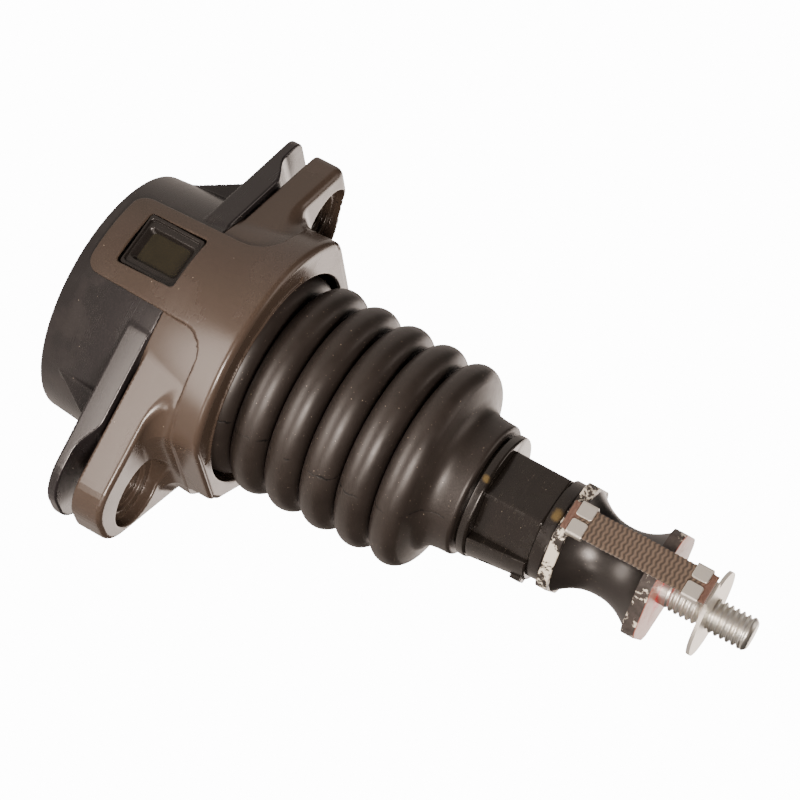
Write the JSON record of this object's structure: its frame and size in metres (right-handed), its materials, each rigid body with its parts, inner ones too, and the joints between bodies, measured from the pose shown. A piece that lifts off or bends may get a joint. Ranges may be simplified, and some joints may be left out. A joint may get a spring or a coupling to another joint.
{
  "type": "industrial joystick base",
  "caption": "Two-axis joystick base: flange-mounted gimbal housing, rubber bellows, and a stick ending in a rubber isolator with strap and grip stud.",
  "frame": {"origin": "centre of the can's flat rear face, on the stick's axis at rest", "axes": "+Z from the rear face along the stick to the grip stud; -Y towards the window; the two mounting ears lie on +X and -X"},
  "size_m": [0.1025, 0.0675, 0.1676],
  "materials": {
    "can": "black glass-filled plastic, satin, fine draft marks",
    "housing": "taupe grey-brown plastic, satin",
    "trim_black": "black moulded plastic, slight gloss",
    "pane": "smoked olive pane",
    "steel": "machined steel",
    "diecast": "die-cast, as cast",
    "bronze": "plain bearing bronze",
    "boot_rubber": "matte black rubber, dusty",
    "board": "green solder mask",
    "chip": "black moulded package",
    "contacts": "plated contact",
    "spring": "spring steel wire",
    "magnet": "nickel-plated magnet",
    "hex_plastic": "glossy black plastic",
    "isolator_rubber": "smooth black rubber",
    "plate_paint": "cream paint, flaking to black",
    "plate_salmon": "worn grey and cream edge, salmon front face",
    "zinc": "bright zinc plating",
    "webbing": "grey-brown woven webbing",
    "clip_metal": "bright plated sheet, rubbed"
  },
  "bodies": {
    "base": {"base_can": "can", "front_housing": "housing", "window_frame": "trim_black", "window_lens": "pane", "gimbal_frame": "diecast", "outer_bushes": "bronze", "boot_retainer": "diecast", "boot": "boot_rubber", "circuit_board": "board", "hall_sensor": "chip", "connector_socket": "trim_black", "contact_pins": "contacts", "case_screws": "steel"},
    "gimbal": {"gimbal_ring": "steel", "outer_pins": "steel", "inner_pin": "steel", "outer_spring": "spring", "inner_spring": "spring"},
    "stick": {"gimbal_block": "diecast", "inner_bushes": "bronze", "magnet_holder": "chip", "magnet": "magnet", "stick_shaft": "steel", "boot_hub": "hex_plastic", "hex_body": "hex_plastic", "hex_cover": "hex_plastic", "collar": "hex_plastic", "isolator_stud": "zinc", "lower_plate": "plate_paint", "rubber_isolator": "isolator_rubber", "upper_plate": "plate_salmon", "grip_stud": "zinc", "safety_strap": "webbing", "lower_clip": "clip_metal", "upper_clip": "clip_metal", "washer_terminal": "clip_metal"}
  },
  "joints": [
    {"name": "tilt_fore_aft", "type": "hinge", "parent": "base", "child": "gimbal", "pos_m": [0, 0, 0.024], "axis": [1, 0, 0], "range_deg": [-20, 20], "stiffness_Nm_per_rad": 1.4, "deforming": ["boot"]},
    {"name": "tilt_left_right", "type": "hinge", "parent": "gimbal", "child": "stick", "pos_m": [0, 0, 0.024], "axis": [0, 1, 0], "range_deg": [-20, 20], "stiffness_Nm_per_rad": 1.4, "deforming": ["boot"]}
  ]
}
